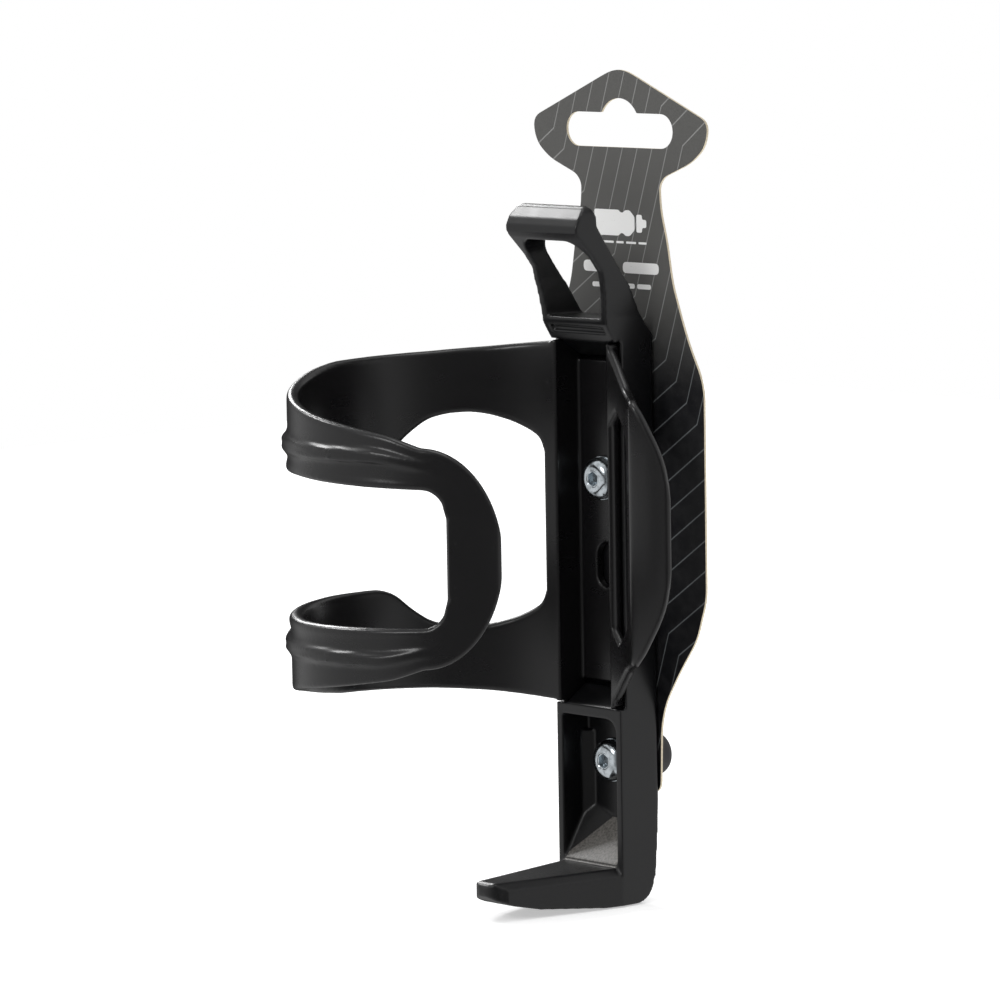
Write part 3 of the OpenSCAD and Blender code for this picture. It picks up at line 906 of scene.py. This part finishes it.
def screw_head(z, seat):
    """Domed head with a hexagon socket and a shallow ring round it."""
    head = lathe("head", screw_head_profile(seat), z, 96)
    top = seat - HEAD_H
    drill_r = 1.3
    hexagon = circle(0, z, SOCKET_WIDTH / math.sqrt(3), 6, 30)
    cut(head, prism("socket", hexagon, 1, top - 1, top + SOCKET_DEPTH))
    drill = [(0, seat - 0.45), (drill_r, seat - 1.0), (drill_r, top), (0, top)]
    cut(head, lathe("drill", drill, z, 32))
    return head


def threaded_shank(z, start, end):
    """A shank with a helical thread from start to end, chamfered at its free end."""
    around = 48
    pitch_steps = 8
    groove_steepness = 2.4
    chamfer = 0.6
    rows = int((end - start) / THREAD_PITCH * pitch_steps)
    points = []
    faces = []
    for i in range(rows + 1):
        y = start + (end - start) * i / rows
        for j in range(around):
            phase = (y / THREAD_PITCH - j / around) % 1.0
            groove = THREAD_DEPTH * (1 - min(1.0, abs(phase - 0.5) * groove_steepness))
            fade = min(1.0, (y - start) / THREAD_RUN_IN)
            r = min(SCREW_R - groove * fade, SCREW_R - chamfer + max(0.0, end - y))
            t = 2 * math.pi * j / around
            points.append((r * math.cos(t), y, z + r * math.sin(t)))
    for i in range(rows):
        for j in range(around):
            k = (j + 1) % around
            faces.append([i * around + j, i * around + k, (i + 1) * around + k, (i + 1) * around + j])
    faces.append(list(range(around)))
    faces.append([rows * around + j for j in range(around)])
    made = new_object("shank", points, faces)
    fix_normals(made)
    return made


def flat_washer(name, z, top, bottom):
    """A flat washer between two depths, with lightly chamfered edges."""
    c = 0.14
    inner = SCREW_R + 0.15
    outer = WASHER_R
    ring = [(inner, top + c), (inner + c, top), (outer - c, top), (outer, top + c),
            (outer, bottom - c), (outer - c, bottom), (inner + c, bottom), (inner, bottom - c)]
    washer = lathe(name, ring, z, 72)
    sharp_shading(washer, 30)
    return washer


def sharp_shading(made, degrees):
    """Smooth shading that keeps edges sharper than an angle."""
    made.data.shade_smooth()
    made.data.set_sharp_from_angle(angle=math.radians(degrees))


class CAGE_OT_screws(bpy.types.Operator):
    """Builds the two frame screws and their washers"""

    bl_idname = "bottle_cage.screws"
    bl_label = "Screws and Washers"

    def execute(self, context):
        looks = context.scene.cage_looks
        zinc = zinc_steel(looks)
        seats = (("upper", UPPER_Z, PLATE_Y, "side_arm"), ("lower", LOWER_Z, -BACK_T, "spine_and_card"))
        for side, z, floor_y, washer_body in seats:
            seat = floor_y - WASHER_T
            parts = [screw_head(z, seat), threaded_shank(z, seat - 0.2, SCREW_REACH)]
            screw = joined(side + "_domed_screw", parts)
            sharp_shading(screw, 38)
            finish_piece(screw, side + "_screw", zinc, [side + "_screw"])
            washer = flat_washer(side + "_flat_washer", z, seat, floor_y)
            finish_piece(washer, washer_body, zinc, [side + "_washer"])
        return {"FINISHED"}


class CAGE_OT_caps(bpy.types.Operator):
    """Builds the two retaining caps behind the card"""

    bl_idname = "bottle_cage.caps"
    bl_label = "Retaining Caps"

    def execute(self, context):
        looks = context.scene.cage_looks
        plastic = cap_plastic(looks)
        bore = SCREW_R + 0.05
        end = CARD_T + CAP_L
        dome_r = 2.2
        profile = [(bore + 0.25, CARD_T), (CAP_R - 0.3, CARD_T), (CAP_R, CARD_T + 0.3)]
        profile += arc(CAP_R - dome_r, end - dome_r, dome_r, 0, 90, 10)
        profile += [(bore + 0.3, end), (bore, end - 0.3), (bore, CARD_T + 0.25)]
        for side, z in (("upper", UPPER_Z), ("lower", LOWER_Z)):
            cap = lathe(side + "_round_cap", profile, z, 80)
            sharp_shading(cap, 35)
            finish_piece(cap, "spine_and_card", plastic, [side + "_cap"])
        return {"FINISHED"}


def rounded_outline(points, radius, steps=5):
    """Rounds each corner of a closed outline with a short curve, smaller where its sides are short."""
    result = []
    count = len(points)
    for i in range(count):
        before = Vector(points[i - 1])
        corner = Vector(points[i])
        after = Vector(points[(i + 1) % count])
        reach = min(radius, (before - corner).length * 0.48, (after - corner).length * 0.48)
        start = corner + (before - corner).normalized() * reach
        stop = corner + (after - corner).normalized() * reach
        for k in range(steps + 1):
            t = k / steps
            p = start * (1 - t) ** 2 + corner * 2 * t * (1 - t) + stop * t * t
            result.append((p.x, p.y))
    return result


def flat_sheet(name, outlines, low, high, edge):
    """An upright sheet from its outline and holes, between two depths, with softened edges."""
    curve = bpy.data.curves.new(name, "CURVE")
    curve.dimensions = "2D"
    curve.fill_mode = "BOTH"
    curve.extrude = (high - low) / 2 * MM - edge * MM
    curve.bevel_depth = edge * MM
    curve.bevel_resolution = 1
    for outline in outlines:
        line = curve.splines.new("POLY")
        line.points.add(len(outline) - 1)
        for point, (x, z) in zip(line.points, outline):
            point.co = (x * MM, z * MM, 0.0, 1.0)
        line.use_cyclic_u = True
    curve.offset = -edge * MM
    holder = bpy.data.objects.new(name + "_curve", curve)
    bpy.context.scene.collection.objects.link(holder)
    graph = bpy.context.evaluated_depsgraph_get()
    mesh = bpy.data.meshes.new_from_object(holder.evaluated_get(graph))
    bpy.data.objects.remove(holder)
    upright = Matrix.Rotation(math.radians(90), 4, "X")
    mesh.transform(Matrix.Translation((0, (low + high) / 2 * MM, 0)) @ upright)
    made = bpy.data.objects.new(name, mesh)
    bpy.context.scene.collection.objects.link(made)
    fix_normals(made)
    sharp_shading(made, 40)
    return made


def mirrored(half):
    """A closed outline from the half on one side of the middle."""
    return list(half) + [(-x, z) for x, z in reversed(half) if x > 0]


def hook_slot():
    """Outline of the shop-hook slot, a long rounded slot with a round rise in its middle."""
    middle_z = 109.5
    end_r = 3.85
    end_x = 13.35
    rise_r = 6.6
    lift = 0.5
    start = math.degrees(math.asin((end_r - lift) / rise_r))
    right = arc(end_x, middle_z, end_r, -90, 90, 12)
    left = arc(-end_x, middle_z, end_r, 90, 270, 12)
    return right + arc(0, middle_z + lift, rise_r, start, 180 - start, 18) + left


def pictogram():
    """Outlines of a plain bottle lying on its side and of its cap, as [x, z]."""
    bottle = [(-8.4, 2.9), (-0.6, 2.9), (0.1, 2.3), (0.9, 2.3), (1.6, 2.9), (3.0, 2.9), (4.6, 1.5)]
    cap = [(5.2, 2.0), (7.0, 2.0), (7.0, 0.9), (8.4, 0.9)]
    middle_z = 88.8
    outlines = []
    for half in (bottle, cap):
        both = half + [(x, -z) for x, z in reversed(half)]
        outlines.append(rounded_outline([(x, middle_z + z) for x, z in both], 0.5, 3))
    return outlines


# Rows of plain bars on the card: height of the row, height of its bars, then each bar's start and length
BAR_ROWS = [(84.2, 0.5, [(-6.2, 4.0), (-1.4, 2.4), (1.8, 3.2), (5.8, 2.6)]),
            (77.6, 2.5, [(-12.2, 10.8), (0.6, 11.6)]),
            (74.2, 1.1, [(-9.4, 3.0), (-5.6, 4.4), (-0.2, 4.6), (5.2, 4.4)])]


def bar(x, z, length, height):
    """Outline of one plain bar with rounded ends."""
    corners = [(x, z), (x + length, z), (x + length, z + height), (x, z + height)]
    return rounded_outline(corners, height * 0.45, 4)


class CAGE_OT_hang_card(bpy.types.Operator):
    """Builds the hang card and its plain print"""

    bl_idname = "bottle_cage.hang_card"
    bl_label = "Hang Card"

    def execute(self, context):
        looks = context.scene.cage_looks
        holes = [rounded_outline(hook_slot(), 0.2, 1)]
        holes += [circle(0, z, HOLE_R) for z in (UPPER_Z, LOWER_Z)]
        outline = rounded_outline(mirrored(CARD_HALF), CARD_CORNER)
        card = flat_sheet("printed_card", [outline] + holes, 0.0, CARD_T, CARD_EDGE)
        finish_piece(card, "spine_and_card", printed_card(looks), ["hang_card"])
        shapes = pictogram()
        for z, height, bars in BAR_ROWS:
            shapes += [bar(x, z, length, height) for x, length in bars]
        ink = flat_sheet("card_pictogram", shapes, INK_FRONT, INK_BACK, INK_EDGE)
        finish_piece(ink, "spine_and_card", card_print(looks), None)
        return {"FINISHED"}


def studio_camera(context, looks):
    """Camera in front of the cage, a little above it and turned towards its entry side."""
    turn, rise, roll = (math.radians(angle) for angle in (CAMERA_TURN, CAMERA_RISE, CAMERA_ROLL))
    ahead = Vector((-math.sin(turn) * math.cos(rise), math.cos(turn) * math.cos(rise), -math.sin(rise)))
    level = Vector((math.cos(turn), math.sin(turn), 0))
    upright = level.cross(ahead)
    right = level * math.cos(roll) + upright * math.sin(roll)
    up = upright * math.cos(roll) - level * math.sin(roll)
    place = (up * CAMERA_PAST_ABOVE - right * CAMERA_PAST_LEFT - ahead * CAMERA_DISTANCE) * MM
    data = bpy.data.cameras.new("camera")
    data.lens = looks.lens
    data.sensor_width = SENSOR_WIDTH
    data.clip_start = 0.05
    data.clip_end = 50
    camera = bpy.data.objects.new("camera", data)
    axes = Matrix((right, up, -ahead)).transposed()
    camera.matrix_world = Matrix.Translation(place) @ axes.to_4x4()
    context.scene.collection.objects.link(camera)
    context.scene.camera = camera


def soft_box(context, name, place, size, power):
    """A rectangular soft light at a place in metres, facing the object."""
    data = bpy.data.lights.new(name, "AREA")
    data.shape = "RECTANGLE"
    data.size, data.size_y = size
    data.energy = power
    lamp = bpy.data.objects.new(name, data)
    facing = (Vector(LIT_POINT) - Vector(place)).to_track_quat("-Z", "Y")
    lamp.matrix_world = Matrix.Translation(place) @ facing.to_matrix().to_4x4()
    context.scene.collection.objects.link(lamp)


def studio_world(context):
    """White surroundings for the view, with a dimmer light from them on the object, darker at the flags."""
    s = Shader(bpy.data.worlds.new("studio"))
    way = s.node("ShaderNodeTexCoord", out="Generated")
    light = SURROUND_LIGHT
    for toward, start, full, left in FLAGS:
        inputs = {0: way, 1: Vector(toward).normalized()}
        nearness = s.node("ShaderNodeVectorMath", {"operation": "DOT_PRODUCT"}, inputs, "Value")
        light = nearness.step(start, full, 1.0, left) * light
    seen = s.node("ShaderNodeLightPath", out="Is Camera Ray")
    sky = s.node("ShaderNodeBackground", None, {"Color": (1, 1, 1, 1), "Strength": light.most(seen)})
    s.node("ShaderNodeOutputWorld", None, {"Surface": sky})
    context.scene.world = s.owner


class CAGE_OT_stage(bpy.types.Operator):
    """Builds the pale floor, the soft lights and the camera"""

    bl_idname = "bottle_cage.stage"
    bl_label = "Stage"

    def execute(self, context):
        looks = context.scene.cage_looks
        level = CAD_BOX[0].z / MM - FLOOR_GAP
        signs = ((-1, -1), (1, -1), (1, 1), (-1, 1))
        corners = [(x * FLOOR_REACH, y * FLOOR_REACH, level) for x, y in signs]
        floor = new_object("studio_floor", corners, [[0, 1, 2, 3]])
        floor.data.materials.append(pale_floor())
        # The floor stays out of reflections, so that the black plastic keeps its depth
        floor.visible_glossy = False
        studio_world(context)
        for name, place, size, power in LAMPS:
            soft_box(context, name, place, size, power)
        studio_camera(context, looks)
        context.scene.view_settings.view_transform = "Standard"
        return {"FINISHED"}


class CAGE_PT_panel(bpy.types.Panel):
    """Lists the bottle cage's settings and builders"""

    bl_idname = "CAGE_PT_panel"
    bl_label = "Bottle Cage"
    bl_space_type = "VIEW_3D"
    bl_region_type = "UI"
    bl_category = "Bottle Cage"

    def draw(self, context):
        looks = context.scene.cage_looks
        for name in CageLooks.__annotations__:
            self.layout.prop(looks, name)
        for builder in BUILDERS:
            self.layout.operator(builder.bl_idname)


BUILDERS = (CAGE_OT_stage, CAGE_OT_spine, CAGE_OT_side_arm, CAGE_OT_screws, CAGE_OT_caps,
            CAGE_OT_hang_card)
CLASSES = (CageLooks, *BUILDERS, CAGE_PT_panel)


def register():
    for made in CLASSES:
        bpy.utils.register_class(made)
    bpy.types.Scene.cage_looks = bpy.props.PointerProperty(type=CageLooks)


def unregister():
    del bpy.types.Scene.cage_looks
    for made in reversed(CLASSES):
        bpy.utils.unregister_class(made)


def main():
    register()
    bpy.ops.bottle_cage.stage()
    bpy.ops.bottle_cage.spine()
    bpy.ops.bottle_cage.side_arm()
    bpy.ops.bottle_cage.screws()
    bpy.ops.bottle_cage.caps()
    bpy.ops.bottle_cage.hang_card()
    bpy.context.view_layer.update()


if __name__ == "__main__":
    main()
